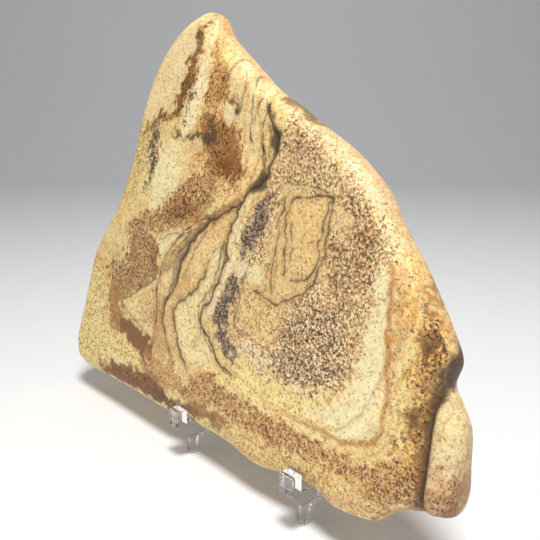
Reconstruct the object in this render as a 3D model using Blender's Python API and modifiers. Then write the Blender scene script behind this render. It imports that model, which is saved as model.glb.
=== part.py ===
"""Polished slab of picture jasper, standing on edge and leaning back on a small clear plastic easel.

Metres, +Z up. The slab's polished front faces -Y, its bottom edge runs along X, and the origin lies on
the floor under the middle of the whole.
"""

import math

import bmesh
import bpy
import numpy as np
from mathutils import Matrix, Vector
from mathutils.geometry import delaunay_2d_cdt

MM = 0.001

# Slab
SLAB_THICK = 14.0
RIM_INSET = 6.5  # how far in from the outline the rounded rim reaches
LEAN = math.radians(10)
FACE_CROWN = 0.35  # the polished front stands this much proud of flat, CROWN_REACH in from the rim
CROWN_REACH = 40.0
RIM_STEP = 4.2  # spacing of points along the outline
TOE_STEP = 2.4  # the same round the small toe at the lower right
TOE_FROM = 66.0  # the toe and the notch above it lie past this X
FACE_STEP = 7.5  # spacing of points on the polished front
BACK_STEP = 12.75  # and on the plain back
ROW_CLEAR = 0.45  # rows of points stop this share of their spacing short of the ring round them
ROW_STARTS = (0.75, 0.25)  # where even and odd rows begin, as shares of their spacing
RIM_RINGS = (0.05, 0.16, 0.34, 0.6)  # ring insets as shares of RIM_INSET
RING_CLEAR = 1.5  # the face's outer points keep this far from the last of those rings
SEAM_STEP = 3.6  # spacing of points along the seams
SEAM_REACH = 2.0  # a seam's edge points lie this many half widths from its middle
SEAM_CLEAR = 2.3  # other points of the front keep this far from a seam's middle
SEAM_END = 0.8  # seam points stop this far short of the last rim ring
SEAM_FADE = 2.5  # seams run out where the rim's half thickness falls below this
SAME_POINT = 1e-4
JASPER_COLOUR = (0.62, 0.43, 0.22)
JASPER_ROUGHNESS = 0.25

# The outline in the slab's own plane: X along the bottom edge from midway between the two hooks, then
# height above the ledges. It runs clockwise, seen from the front, from the top corner.
OUTLINE = (
    (-47, 153.9), (-42.4, 151.8), (-37.4, 145.6), (-31, 140.8), (-19.2, 132.6), (-9, 125.6),
    (4.2, 119.1), (16, 112.8), (27.2, 107.2), (36, 101.2), (43.2, 95), (50, 86), (58, 76.9), (64, 69),
    (70, 60.6), (74.2, 53), (73.3, 46.2), (76, 42.2), (79.8, 36), (81.2, 27), (82.2, 19), (80.6, 13),
    (75.3, 10.7), (69, 9.3), (62.6, 5.6), (58, 1), (52, -0.8), (43, -1.7), (36, 0.4), (28, 0.5),
    (20, -0.9), (8, -2.8), (-6, -0.9), (-18, -0.4), (-23, -0.6), (-28, 0.4), (-34, 0.3), (-42, -1.8),
    (-58, -1.9), (-78, -1.6), (-98, -2), (-112, -1.8), (-119.2, 1.8), (-121.6, 11), (-119, 24),
    (-115.4, 40), (-112.1, 54), (-104, 66), (-96.5, 77), (-91, 88), (-87, 101), (-84.1, 115),
    (-80, 127), (-74.8, 136), (-68.5, 143.5), (-60, 149.8), (-53, 152.7),
)

# Grooves and open seams of the front face: (X, height, half width, depth) along each one.
TOE_GROOVE = (
    (74.8, 47.5, 1.5, 2.2), (73.8, 43, 1.3, 2.4), (73.6, 36, 1.2, 2.4), (73.8, 28, 1.1, 2.2),
    (74.3, 20, 1.2, 2.2), (74.6, 11, 1.4, 2.4),
)
MAIN_SEAM = (
    (-5, 119, 0.7, 0.4), (-1.5, 112, 1.0, 0.7), (1.6, 106, 1.5, 1.0), (0.5, 99, 0.8, 0.6),
    (-3, 93, 1.7, 1.2), (-10, 87, 0.8, 0.6), (-14, 79, 0.7, 0.6), (-17.5, 71, 1.1, 0.8),
    (-17, 62, 0.7, 0.5), (-21, 52, 0.7, 0.6), (-26.5, 43, 0.9, 0.7), (-22, 36, 0.7, 0.5),
    (-15, 28.5, 0.7, 0.5), (-7, 25.5, 0.6, 0.4),
)
SIDE_SEAM = (
    (-12, 85, 0.6, 0.4), (-22, 80, 0.8, 0.5), (-31, 74, 0.9, 0.6), (-38, 64, 0.9, 0.6),
    (-43.3, 56, 0.8, 0.5), (-46, 46, 0.7, 0.5), (-50.5, 37, 0.7, 0.5), (-49, 32, 0.6, 0.4),
)
SEAMS = (TOE_GROOVE, MAIN_SEAM, SIDE_SEAM)

# Easel: side view in Y and Z, with the corner of lip and ledge at SEAT
GAP = 0.3
HOOK_SPACING = 60.0
HOOK_WIDE = 6.0
PLATE_WIDE = 3.4
SEAT = (2.0, 13.8)
LIP_TOP = 19.8
LIP_FRONT = -2.0
LIP_BOTTOM = 13.2
HOOK_UNDERSIDE = 6.5
HOOK_BACK = 12.5
POST_FRONT, POST_BACK = 4.7, 8.1
REST_THICK = 4.2
REST_HIGH = 74.0
STRUT_TOP = 64.0  # where the rear strut leaves the back rest, measured up the rest
STRUT_JOINT = 8.0  # length of that joint along the rest
STRUT_SPREAD = (61.5, 66.0)  # front and back of its foot
ARM_FRONT = (3.0, 5.0)  # the post runs up inside the hook and turns into the arm over this run and rise
ARM_TOP = (12.0, 10.9)  # where the arm's top comes out of the hook, as (Y, Z)
ARM_HEEL = (-1.2, -3.5)  # where the arm's top and underside meet the back rest, measured up the rest
ARM_CORNER = (1.0, 0.5)  # chamfer between the post's back and the arm's underside
LIP_FOOT = 0.6  # the hook's sloping underside ends this far in front of the post
EDGE_ROUND = 0.35
EDGE_ANGLE = math.radians(25)
WELD = 1e-6  # metres
FLAT_ANGLE = 0.01  # faces that turn less than this, in radians, are one
CLEAR_COLOUR = (0.95, 0.96, 0.96)
CLEAR_ROUGHNESS = 0.05
CLEAR_INDEX = 1.49
BAR_THICK = 3.2
UPPER_BAR = (46.0, 53.0)  # measured up the back rest
LOWER_BAR = (8.0, 14.0)  # heights above the floor

UP = Vector((0, math.sin(LEAN), math.cos(LEAN)))
BACK = Vector((0, math.cos(LEAN), -math.sin(LEAN)))


def material(name, colour, roughness, transmission=0.0, ior=1.5):
    """A Principled material of one colour, clear where transmission is 1."""
    made = bpy.data.materials.new(name)
    made.use_nodes = True
    shader = made.node_tree.nodes["Principled BSDF"]
    shader.inputs["Base Color"].default_value = (*colour, 1)
    shader.inputs["Metallic"].default_value = 0.0
    shader.inputs["Roughness"].default_value = roughness
    shader.inputs["Transmission Weight"].default_value = transmission
    shader.inputs["IOR"].default_value = ior
    return made


def smooth_loop(corners):
    """Points on a closed Catmull-Rom curve through the corners, closer together round the toe."""
    corners = np.array(corners, float)
    points = []
    for i in range(len(corners)):
        before, start, end, after = corners[np.arange(i - 1, i + 3) % len(corners)]
        step = TOE_STEP if start[0] > TOE_FROM else RIM_STEP
        count = max(1, round(np.linalg.norm(end - start) / step))
        for t in np.arange(count) / count:
            points.append(
                0.5 * (2 * start + (end - before) * t + (2 * before - 5 * start + 4 * end - after) * t**2
                       + (3 * start - before - 3 * end + after) * t**3)
            )
    return np.array(points)


def segment_distance(points, start, end):
    """Distance from each point to one segment, and how far along it the nearest place is."""
    along = end - start
    share = np.clip((points - start) @ along / (along @ along), 0, 1)
    return np.linalg.norm(points - start - share[:, None] * along, axis=1), share


def outline_distance(points, outline):
    """Distance from each point to the nearest place on the closed outline."""
    nearest = np.full(len(points), np.inf)
    for start, end in zip(outline, np.roll(outline, -1, axis=0)):
        nearest = np.minimum(nearest, segment_distance(points, start, end)[0])
    return nearest


def inside(points, outline):
    """Which points lie inside the closed outline."""
    crossings = np.zeros(len(points), bool)
    for (x0, z0), (x1, z1) in zip(outline, np.roll(outline, -1, axis=0)):
        spans = (z0 > points[:, 1]) != (z1 > points[:, 1])
        with np.errstate(divide="ignore", invalid="ignore"):
            crossings ^= spans & (points[:, 0] < (x1 - x0) * (points[:, 1] - z0) / (z1 - z0) + x0)
    return crossings


def seam_depth(points):
    """How deep the grooves and seams lie below the face at each point."""
    depth = np.zeros(len(points))
    for seam in SEAMS:
        rows = np.array(seam, float)
        for start, end in zip(rows[:-1], rows[1:]):
            distance, share = segment_distance(points, start[:2], end[:2])
            half, deep = (start[2:] + share[:, None] * (end[2:] - start[2:])).T
            depth = np.maximum(depth, deep * np.exp(-((distance / half) ** 2)))
    return depth


def half_thickness(edge_distance, crown):
    """The slab's half thickness: an elliptical rim, then a face that may be faintly crowned."""
    share = np.clip(1 - edge_distance / RIM_INSET, 0, 1)
    rim = SLAB_THICK / 2 * np.sqrt(1 - share**2)
    return rim + crown * np.clip((edge_distance - RIM_INSET) / CROWN_REACH, 0, 1)


def inset_rings(outline, shares):
    """Rings inside the outline, one for each share. Each is eased so that tight corners don't cross."""
    rings, ring, reached = [], outline, 0.0
    for share in shares:
        tangent = np.roll(ring, -1, axis=0) - np.roll(ring, 1, axis=0)
        tangent /= np.linalg.norm(tangent, axis=1)[:, None]
        inward = np.stack([tangent[:, 1], -tangent[:, 0]], axis=1)
        ring = ring + inward * (share - reached) * RIM_INSET
        ease = share / 2
        ring = (1 - ease) * ring + ease / 2 * (np.roll(ring, 1, axis=0) + np.roll(ring, -1, axis=0))
        rings.append(ring)
        reached = share
    return rings


def grid_inside(ring, step):
    """Staggered rows of points inside the ring."""
    low, high = ring.min(axis=0), ring.max(axis=0)
    rows = []
    for j, z in enumerate(np.arange(low[1] + step / 2, high[1], step)):
        start = low[0] + step * ROW_STARTS[j % 2]
        rows += [(x, z) for x in np.arange(start, high[0], step)]
    grid = np.array(rows)
    clear = inside(grid, ring) & (outline_distance(grid, ring) > ROW_CLEAR * step)
    return grid[clear]


def clear_of_seams(points):
    """The points that aren't on or beside a seam."""
    clear = np.ones(len(points), bool)
    for seam in SEAMS:
        rows = np.array(seam, float)[:, :2]
        for start, end in zip(rows[:-1], rows[1:]):
            clear &= segment_distance(points, start, end)[0] > SEAM_CLEAR
    return points[clear]


def seam_points(ring):
    """Points down the middle of each seam and along both its edges, where they lie inside the ring."""
    found = []
    for seam in SEAMS:
        rows = np.array(seam, float)
        for start, end in zip(rows[:-1], rows[1:]):
            along = end[:2] - start[:2]
            length = np.linalg.norm(along)
            side = np.array((-along[1], along[0])) / length
            count = max(1, round(length / SEAM_STEP))
            for t in np.arange(count) / count:
                middle = start + t * (end - start)
                reach = SEAM_REACH * middle[2]
                found += [middle[:2], middle[:2] + side * reach, middle[:2] - side * reach]
    found = np.array(found)
    return found[inside(found, ring) & (outline_distance(found, ring) > SEAM_END)]


def sheet(ring, inner):
    """Triangles that fill the ring and use the inner points. The ring's points come first."""
    points = [Vector(p) for p in np.concatenate([ring, inner])]
    edges = [(i, (i + 1) % len(ring)) for i in range(len(ring))]
    places, _, faces, *_ = delaunay_2d_cdt(points, edges, [], 1, SAME_POINT)
    places = np.array([tuple(p) for p in places])
    return places, [tuple(face) for face in faces]


def build_slab(collection):
    """One closed stone: front and back sheets joined by the rings of the rounded rim."""
    outline = smooth_loop(OUTLINE)
    *rings, last, face_edge = inset_rings(outline, (*RIM_RINGS, 1.0))
    face_edge = face_edge[outline_distance(face_edge, last) > RING_CLEAR]
    mesh = bmesh.new()

    def layer(points, side):
        distance = outline_distance(points, outline)
        distance[~inside(points, outline)] = 0
        out = half_thickness(distance, FACE_CROWN if side > 0 else 0)
        if side > 0:
            out = out - seam_depth(points) * np.clip(out / SEAM_FADE, 0, 1)
        return [mesh.verts.new((p[0] * MM, -side * y * MM, p[1] * MM)) for p, y in zip(points, out)]

    equator = [mesh.verts.new((x * MM, 0, z * MM)) for x, z in outline]
    for side in (1, -1):
        previous = equator
        for ring in rings:
            current = layer(ring, side)
            for i in range(len(ring)):
                j = (i + 1) % len(ring)
                mesh.faces.new((previous[i], previous[j], current[j], current[i]))
            previous = current
        if side > 0:
            middle = clear_of_seams(grid_inside(face_edge, FACE_STEP))
            inner = [middle, clear_of_seams(face_edge), seam_points(last)]
        else:
            inner = [grid_inside(face_edge, BACK_STEP), face_edge[::2]]
        places, faces = sheet(last, np.concatenate(inner))
        current = layer(places, side)
        for i in range(len(last)):
            j = (i + 1) % len(last)
            mesh.faces.new((previous[i], previous[j], current[j], current[i]))
        for face in faces:
            mesh.faces.new([current[k] for k in face])
    bmesh.ops.recalc_face_normals(mesh, faces=mesh.faces)
    bmesh.ops.triangulate(mesh, faces=[f for f in mesh.faces if len(f.verts) > 3])
    data = bpy.data.meshes.new("jasper_slab")
    mesh.to_mesh(data)
    mesh.free()
    data.shade_smooth()
    slab = bpy.data.objects.new("jasper_slab", data)
    collection.objects.link(slab)
    slab.location = (Vector((0, *SEAT)) + BACK * (GAP + SLAB_THICK / 2)) * MM
    slab.rotation_euler = (-LEAN, 0, 0)
    data.materials.append(material("polished_jasper", JASPER_COLOUR, JASPER_ROUGHNESS))
    return slab


def plate(name, side_view, wide, collection):
    """A flat plate standing in the YZ plane, centred on X = 0, as a welded mesh."""
    curve = bpy.data.curves.new(name, "CURVE")
    curve.dimensions = "2D"
    curve.fill_mode = "BOTH"
    curve.extrude = wide / 2 * MM
    spline = curve.splines.new("POLY")
    spline.points.add(len(side_view) - 1)
    for point, (y, z) in zip(spline.points, side_view):
        point.co = (y * MM, z * MM, 0, 1)
    spline.use_cyclic_u = True
    shape = bpy.data.objects.new(name + "_outline", curve)
    collection.objects.link(shape)
    shape.matrix_world = Matrix(((0, 0, 1, 0), (1, 0, 0, 0), (0, 1, 0, 0), (0, 0, 0, 1)))
    bpy.context.view_layer.update()
    graph = bpy.context.evaluated_depsgraph_get()
    data = bpy.data.meshes.new_from_object(shape.evaluated_get(graph))
    data.transform(shape.matrix_world)
    bpy.data.objects.remove(shape)
    mesh = bmesh.new()
    mesh.from_mesh(data)
    bmesh.ops.remove_doubles(mesh, verts=mesh.verts, dist=WELD)
    bmesh.ops.dissolve_limit(mesh, angle_limit=FLAT_ANGLE, verts=mesh.verts, edges=mesh.edges)
    bmesh.ops.recalc_face_normals(mesh, faces=mesh.faces)
    mesh.to_mesh(data)
    mesh.free()
    data.name = name
    made = bpy.data.objects.new(name, data)
    collection.objects.link(made)
    return made


def on_rest(high, back=0.0):
    """A place on the back rest's front, that far up it from the seat and that far behind it, as (Y, Z)."""
    place = Vector((0, *SEAT)) + BACK * (SLAB_THICK + 2 * GAP + back) + UP * high
    return place.y, place.z


def frame_view():
    """Side view of one frame: front post, arm, leaning back rest and rear strut."""
    run, rise = ARM_FRONT
    corner_run, corner_rise = ARM_CORNER
    return (
        (POST_FRONT, 0), (POST_FRONT, HOOK_UNDERSIDE + run), (POST_FRONT + run, HOOK_UNDERSIDE + rise),
        ARM_TOP, on_rest(ARM_HEEL[0]), on_rest(REST_HIGH),
        on_rest(REST_HIGH, REST_THICK), on_rest(STRUT_TOP, REST_THICK), (STRUT_SPREAD[1], 0),
        (STRUT_SPREAD[0], 0), on_rest(STRUT_TOP - STRUT_JOINT, REST_THICK),
        on_rest(ARM_HEEL[1], REST_THICK), (POST_BACK + corner_run, HOOK_UNDERSIDE + corner_rise),
        (POST_BACK, HOOK_UNDERSIDE - corner_rise), (POST_BACK, 0),
    )


def hook_view():
    """Side view of one hook: upturned lip, ledge that drops back at the slab's lean, sloping underside."""
    drop = (HOOK_BACK - SEAT[0]) * math.tan(LEAN)
    return (
        (LIP_FRONT, LIP_BOTTOM), (LIP_FRONT, LIP_TOP), (SEAT[0], LIP_TOP), SEAT,
        (HOOK_BACK, SEAT[1] - drop), (HOOK_BACK, HOOK_UNDERSIDE), (POST_FRONT - LIP_FOOT, HOOK_UNDERSIDE),
    )


def round_edges(thing):
    """Softens the moulded edges."""
    bevel = thing.modifiers.new("edges", "BEVEL")
    bevel.width = EDGE_ROUND * MM
    bevel.segments = 2
    bevel.limit_method = "ANGLE"
    bevel.angle_limit = EDGE_ANGLE


def build_side(name, x, parts, cutters, clear):
    """One side frame with its wider hook fused to the front."""
    side = plate(name, frame_view(), PLATE_WIDE, parts)
    hook = plate(name + "_hook", hook_view(), HOOK_WIDE, cutters)
    hook.hide_render = True
    hook.display_type = "WIRE"
    side.location.x = hook.location.x = x * MM
    join = side.modifiers.new("hook", "BOOLEAN")
    join.operation = "UNION"
    join.object = hook
    round_edges(side)
    side.data.materials.append(clear)
    return side, hook


def crossbar(name, centre, tilt, tall, collection, clear):
    """A flat bar along X that ties the two frames, a hair short of each."""
    mesh = bmesh.new()
    bmesh.ops.create_cube(mesh, size=1)
    long = HOOK_SPACING - PLATE_WIDE - 2 * GAP
    bmesh.ops.scale(mesh, vec=Vector((long, BAR_THICK, tall)) * MM, verts=mesh.verts)
    data = bpy.data.meshes.new(name)
    mesh.to_mesh(data)
    mesh.free()
    bar = bpy.data.objects.new(name, data)
    collection.objects.link(bar)
    bar.location = Vector((0, *centre)) * MM
    bar.rotation_euler = (tilt, 0, 0)
    round_edges(bar)
    data.materials.append(clear)
    return bar


def build_easel(parts, cutters):
    """Two side frames and the two bars between them, all of the same clear plastic."""
    clear = material("clear_plastic", CLEAR_COLOUR, CLEAR_ROUGHNESS, transmission=1.0, ior=CLEAR_INDEX)
    made = []
    for name, x in (("easel_side_left", -HOOK_SPACING / 2), ("easel_side_right", HOOK_SPACING / 2)):
        made += build_side(name, x, parts, cutters, clear)
    low, high = UPPER_BAR
    made.append(crossbar("easel_crossbar_upper", on_rest((low + high) / 2, REST_THICK / 2), -LEAN,
                         high - low, parts, clear))
    low, high = LOWER_BAR
    top_y, top_z = on_rest(STRUT_TOP - STRUT_JOINT / 2, REST_THICK)
    foot_y = sum(STRUT_SPREAD) / 2
    slope = (foot_y - top_y) / top_z
    middle = (low + high) / 2
    made.append(crossbar("easel_crossbar_lower", (foot_y - slope * middle, middle), math.atan(slope),
                         high - low, parts, clear))
    return made


def stand_over_origin(things, collection):
    """Hangs everything on one empty, moved so that the whole is centred over the origin and on the floor."""
    bpy.context.view_layer.update()
    graph = bpy.context.evaluated_depsgraph_get()
    corners = []
    for thing in things:
        if not thing.hide_render:
            ready = thing.evaluated_get(graph)
            corners += [ready.matrix_world @ vertex.co for vertex in ready.data.vertices]
    corners = np.array(corners)
    low, high = corners.min(axis=0), corners.max(axis=0)
    whole = bpy.data.objects.new("jasper_on_easel", None)
    collection.objects.link(whole)
    for thing in things:
        thing.parent = whole
    whole.location = (-(low[0] + high[0]) / 2, -(low[1] + high[1]) / 2, -low[2])


for old in list(bpy.data.objects):
    bpy.data.objects.remove(old)
stone_and_stand = bpy.data.collections.new("picture_jasper")
helpers = bpy.data.collections.new("cutters")
helpers.hide_render = True
for group in (stone_and_stand, helpers):
    bpy.context.scene.collection.children.link(group)
slab_object = build_slab(stone_and_stand)
stand_over_origin([slab_object, *build_easel(stone_and_stand, helpers)], stone_and_stand)
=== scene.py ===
"""Polished slab of picture jasper leaning back in the hooks of a small clear plastic easel.

Metres, +Z up. The polished front faces -Y, and the small toe is at the +X end of the bottom edge.
"""

import math

import bmesh
import bpy
import numpy as np
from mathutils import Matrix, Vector, noise
from mathutils.geometry import delaunay_2d_cdt


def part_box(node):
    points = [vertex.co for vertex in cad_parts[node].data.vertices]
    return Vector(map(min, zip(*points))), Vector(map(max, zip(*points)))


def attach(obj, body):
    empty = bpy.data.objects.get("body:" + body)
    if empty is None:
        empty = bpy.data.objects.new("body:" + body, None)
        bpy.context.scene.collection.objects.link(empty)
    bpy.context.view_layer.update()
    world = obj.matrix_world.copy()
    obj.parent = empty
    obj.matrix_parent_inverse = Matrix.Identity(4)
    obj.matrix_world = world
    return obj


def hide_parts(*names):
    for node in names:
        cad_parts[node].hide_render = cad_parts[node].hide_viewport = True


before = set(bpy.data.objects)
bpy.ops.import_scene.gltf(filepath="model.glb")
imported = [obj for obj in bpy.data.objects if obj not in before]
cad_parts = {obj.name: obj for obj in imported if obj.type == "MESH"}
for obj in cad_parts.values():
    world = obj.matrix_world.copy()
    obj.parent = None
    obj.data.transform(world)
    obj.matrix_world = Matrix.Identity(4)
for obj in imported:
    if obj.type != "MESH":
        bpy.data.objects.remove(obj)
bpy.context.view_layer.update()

# The easel. Two clear plastic side frames, each moulded in one piece with its hook, post, back rest and
# strut, and two bars that tie them. The edges are softly rounded and the faces a little wavy, as moulded
# plastic is, with faint rub marks.
CLEAR_TINT = (250, 250, 252)
CLEAR_INDEX = 1.49
RUB_MARKS, RUB_DETAIL = 900, 3.0  # marks per metre
RUB_STARTS, RUB_FULL = 0.45, 0.8  # cloudiness at which a rub mark starts, and at which it is full
CLEAN_ROUGHNESS, RUBBED_ROUGHNESS = 0.02, 0.14
MOULD_WAVES, WAVE_DETAIL = 120, 2.0  # waves per metre
WAVE_STRENGTH, WAVE_HEIGHT = 0.25, 0.0006


def new_material(name):
    made = bpy.data.materials.new(name)
    made.use_nodes = True
    return made, made.node_tree, made.node_tree.nodes["Principled BSDF"]


def add(tree, kind, **settings):
    """A shader node with its settings; a setting whose name is a socket's fills that socket."""
    node = tree.nodes.new("ShaderNode" + kind)
    for name, value in settings.items():
        if hasattr(node, name):
            setattr(node, name, value)
        else:
            socket = node.inputs[name.replace("_", " ")]
            if isinstance(value, bpy.types.NodeSocket):
                tree.links.new(value, socket)
            else:
                socket.default_value = value
    return node


def linear(red, green, blue):
    """A colour given as 0 to 255 on a screen, as the shader needs it."""
    return tuple(((v / 255 + 0.055) / 1.055) ** 2.4 if v > 10 else v / 255 / 12.92
                 for v in (red, green, blue))


plastic, tree, shader = new_material("clear_easel_plastic")
shader.inputs["Base Color"].default_value = (*linear(*CLEAR_TINT), 1)
shader.inputs["Transmission Weight"].default_value = 1
shader.inputs["IOR"].default_value = CLEAR_INDEX
place = add(tree, "TexCoord").outputs["Object"]
rubs = add(tree, "TexNoise", Vector=place, Scale=RUB_MARKS, Detail=RUB_DETAIL)
worn = add(tree, "MapRange", Value=rubs.outputs["Fac"], From_Min=RUB_STARTS, From_Max=RUB_FULL,
           To_Min=CLEAN_ROUGHNESS, To_Max=RUBBED_ROUGHNESS)
tree.links.new(worn.outputs["Result"], shader.inputs["Roughness"])
waves = add(tree, "TexNoise", Vector=place, Scale=MOULD_WAVES, Detail=WAVE_DETAIL)
bump = add(tree, "Bump", Height=waves.outputs["Fac"], Strength=WAVE_STRENGTH, Distance=WAVE_HEIGHT)
tree.links.new(bump.outputs["Normal"], shader.inputs["Normal"])
for name in ("easel_side_left", "easel_side_right", "easel_crossbar_upper", "easel_crossbar_lower"):
    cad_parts[name].data.materials[0] = plastic

# The slab. One piece of picture jasper, sawn about 14 mm thick, its rim ground round and its faces
# polished. Fine sand-coloured layers fold round a dark speckled core, thin open seams cut them, and a
# groove sets off the small toe at the lower right.

# Sizes are in mm in the slab's own plane: U runs along the bottom edge from midway between the hooks, W
# up the face.
MM = 0.001
THICK = 14.0
RIM = 6.5  # how far in from the outline the rounded rim reaches
LEAN = math.radians(10)
CROWN, CROWN_REACH = 0.35, 40.0  # how much the polished front swells, and over what distance
OUTLINE = (
    (-47, 153.9), (-42.4, 151.8), (-37.4, 145.6), (-31, 140.8), (-19.2, 132.6), (-9, 125.6), (4.2, 119.1),
    (16, 112.8), (27.2, 107.2), (36, 101.2), (43.2, 95), (50, 86), (58, 76.9), (64, 69), (70, 60.6),
    (74.2, 53), (73.3, 46.2), (76, 42.2), (79.8, 36), (81.2, 27), (82.2, 19), (80.6, 13), (75.3, 10.7),
    (69, 9.3), (62.6, 5.6), (58, 1), (52, -0.8), (43, -1.7), (36, 0.4), (28, 0.5), (20, -0.9), (8, -2.8),
    (-6, -0.9), (-18, -0.4), (-23, -0.6), (-28, 0.4), (-34, 0.3), (-42, -1.8), (-58, -1.9), (-78, -1.6),
    (-98, -2), (-112, -1.8), (-119.2, 1.8), (-121.6, 11), (-119, 24), (-115.4, 40), (-112.1, 54),
    (-104, 66), (-96.5, 77), (-91, 88), (-87, 101), (-84.1, 115), (-80, 127), (-74.8, 136), (-68.5, 143.5),
    (-60, 149.8), (-53, 152.7),
)

# Spacing of the points that carry the surface, and the gaps kept between those of its parts.
EDGE_STEP = 0.9
FRONT_STEP, FRONT_GAP = 0.68, 0.3  # over the front, and inside the rim
BACK_STEP, BACK_GAP = 1.7, 0.9
RIM_LEVELS = 13
CROWDED, CROWDED_INSIDE = 0.02, 0.01  # how far off its inset a rim point may be, more so further in
LINE_STEP, MARK_STEP = 1.1, 0.8  # along a seam's curve, and along its edges in the surface
MARK_FLANKS = (-2.2, -1.1, 0, 1.1, 2.2)  # across a line, counted in its half widths
MARK_MARGIN, LINE_GAP = 1.2, 0.75
INSIDE_ONLY, TOUCHING = 1, 1e-3  # triangles inside the outline alone; points nearer than this are one
GROOVE_FADE = 2.5  # grooves run out where the stone is lower than this

# The toe's groove and the open seams: U, W, half width and depth along each.
TOE_GROOVE = (
    (77, 48, 1.5, 2), (74, 45.2, 1.5, 2.4), (72.2, 41, 1.3, 2.4), (72, 36, 1.2, 2.4), (72.3, 28, 1.1, 2.2),
    (72.4, 20, 1.2, 2.2), (72.4, 11, 1.4, 2.4),
)
SEAMS = (
    ((-5, 119, 0.6, 0.4), (-1.5, 112, 0.8, 0.6), (1.6, 106, 1.1, 0.7), (0.5, 99, 0.6, 0.5),
     (-2.5, 94, 1.3, 0.8), (-8.3, 89, 0.7, 0.6), (-13, 83, 0.6, 0.5), (-14, 79, 0.5, 0.5),
     (-17, 73, 0.6, 0.6), (-16, 65.5, 0.5, 0.4), (-18, 59.5, 0.5, 0.5), (-21, 52, 0.5, 0.5),
     (-25.6, 45, 0.6, 0.5), (-27, 42, 0.6, 0.5), (-25, 38.5, 0.5, 0.4), (-20, 34, 0.5, 0.4),
     (-15, 28.7, 0.5, 0.4), (-7, 25.6, 0.4, 0.3)),
    ((-12, 85.5, 0.6, 0.4), (-22, 80, 0.7, 0.4), (-31, 74.5, 0.7, 0.4), (-38, 66, 0.7, 0.4),
     (-41.5, 60.5, 0.7, 0.4), (-43.4, 55, 0.6, 0.4), (-44, 50, 0.5, 0.4), (-49, 43.5, 0.5, 0.4),
     (-50.6, 38, 0.5, 0.4), (-50, 33.5, 0.4, 0.3), (-47.5, 29.5, 0.4, 0.3)),
    ((-26.5, 59, 0.3, 0.15), (-31.5, 51.6, 0.4, 0.3), (-37.5, 46, 0.4, 0.3), (-43.3, 41.5, 0.4, 0.3),
     (-42.5, 37, 0.4, 0.3), (-40.3, 31.5, 0.4, 0.3), (-37, 25.5, 0.4, 0.3), (-32.4, 21.8, 0.3, 0.2)),
)

# Fine dark lines without depth: half width and darkness, then the places they pass.
HAIRLINES = (
    (0.32, 0.85, ((-8.2, 121), (-9, 117), (-7, 111.5), (-5, 105.5), (-3, 98.5))),
    (0.28, 0.75, ((-6, 121), (-5, 116), (-5.8, 110), (-3.4, 104), (-2.4, 98))),
    (0.26, 0.7, ((-3.8, 119.5), (-3.4, 113), (-1.6, 108), (-1.2, 101))),
    (0.34, 0.8,
     ((29, 91.3), (25, 91.6), (20, 90.6), (14.6, 90), (12, 87), (10.8, 83), (11.4, 77), (12.4, 70),
      (13, 65))),
    (0.34, 0.8, ((28.2, 90), (27.2, 84), (25.8, 78), (26.4, 72), (25, 68), (21, 64.5), (16, 63.3))),
    (0.34, 0.8,
     ((29.4, 90.6), (29, 84), (28.2, 78), (28.6, 74), (27, 69), (25.4, 63.5), (20, 59.6), (14, 56),
      (10, 54.6), (5, 56), (0, 57))),
    (0.3, 0.75, ((9.4, 90), (9.2, 86), (8, 82), (8.2, 77), (7.3, 71), (7.6, 64), (8.6, 58))),
    (0.26, 0.6, ((10, 94), (16, 93.6), (22, 93.2), (29, 91.4))),
    (0.24, 0.5, ((14, 66), (14.8, 74), (13.6, 82))),
    (0.22, 0.5, ((6.2, 69), (5.2, 62), (5.6, 56))),
    (0.22, 0.45, ((8.6, 70), (9.6, 63), (9.2, 58))),
    (0.3, 0.5, ((-5, 62), (-6, 55), (-7.6, 48), (-7, 43), (-2, 41.2))),
    (0.34, 0.6, ((-81, 37), (-74, 40.4), (-68, 44), (-61, 48.2), (-58, 51))),
    (0.3, 0.55, ((-56.5, 49), (-55.8, 41), (-57, 35), (-56, 29), (-54.6, 24.5))),
    (0.3, 0.6, ((-50, 55), (-45.5, 61), (-40, 67.4), (-33.5, 73.4))),
    (0.28, 0.5, ((-54, 55), (-49.4, 61.5), (-44, 66.4), (-37, 71.6))),
    (0.28, 0.55, ((-19, 71), (-22.6, 68), (-25.4, 63.6), (-27, 59))),
    (0.3, 0.6, ((-18.6, 70), (-18.8, 64), (-20, 58), (-23, 50.5))),
    (0.26, 0.45, ((-29, 30), (-25.6, 36), (-26.4, 40))),
    (0.34, 0.8, ((-28, 79), (-36, 75), (-44, 70), (-54, 57), (-56, 45), (-55, 33), (-56.4, 19))),
    (0.26, 0.6, ((-58, 66), (-50, 69.6), (-42, 70.6), (-34, 74))),
    (0.3, 0.7, ((-81, 36), (-74, 31.6), (-64, 28), (-57, 25))),
    (0.26, 0.6, ((-38, 66), (-42, 57), (-47, 48), (-49.6, 38), (-46, 27), (-42, 21))),
    (0.3, 0.7, ((-19.4, 69), (-20, 60), (-23.4, 52), (-28.4, 44), (-24, 37), (-17, 30), (-8, 24.6))),
    (0.24, 0.5, ((-12, 84), (-24, 77), (-31, 70), (-36, 62), (-40, 54))),
    (0.24, 0.5, ((-30, 86), (-38, 80), (-48, 76), (-56, 73))),
    (0.3, 0.6, ((-26.6, 128), (-25, 134), (-20, 135.6), (-15.4, 132), (-13, 124), (-12, 112), (-9, 103))),
    (0.24, 0.5, ((-22, 112), (-18, 117), (-17.4, 124), (-19, 130), (-23, 131))),
    (0.5, 0.8, ((1, 121.6), (7, 119.6), (13, 116.4), (18, 113.4))),
    (0.4, 0.7, ((6, 121), (11, 118.6), (16, 115.6))),
)

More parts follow.
